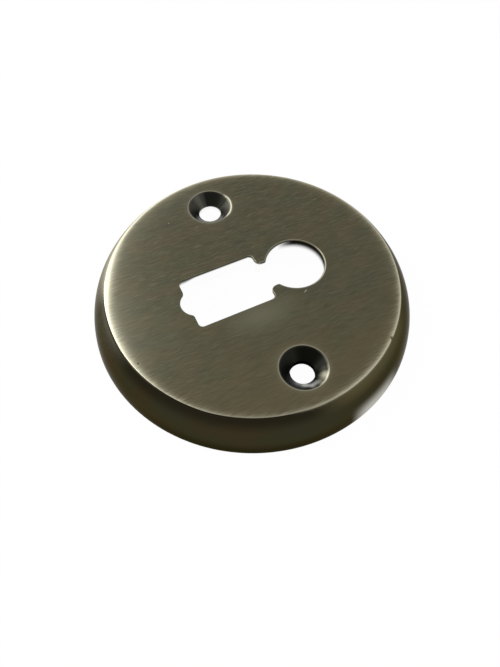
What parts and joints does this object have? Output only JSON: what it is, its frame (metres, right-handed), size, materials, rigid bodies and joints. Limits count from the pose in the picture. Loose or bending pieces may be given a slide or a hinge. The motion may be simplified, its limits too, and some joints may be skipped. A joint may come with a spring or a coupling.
{
  "type": "keyhole escutcheon",
  "caption": "Round keyhole escutcheon in dark antique brass: flat brushed face, convex rim, countersunk screw holes and a hollow back. It frames a lock's keyhole on a door.",
  "frame": {"origin": "centre of the round foot that lies against the door, in the plane of the back rim", "axes": "+Z out of the door through the flat face, X through both screw holes, +Y towards the round part of the keyhole"},
  "size_m": [0.058, 0.058, 0.0072],
  "materials": {
    "antique_brass": "brushed face, dark antique patina, rubbed bright along the edges"
  },
  "bodies": {
    "root": {"escutcheon": "antique_brass"}
  },
  "joints": []
}
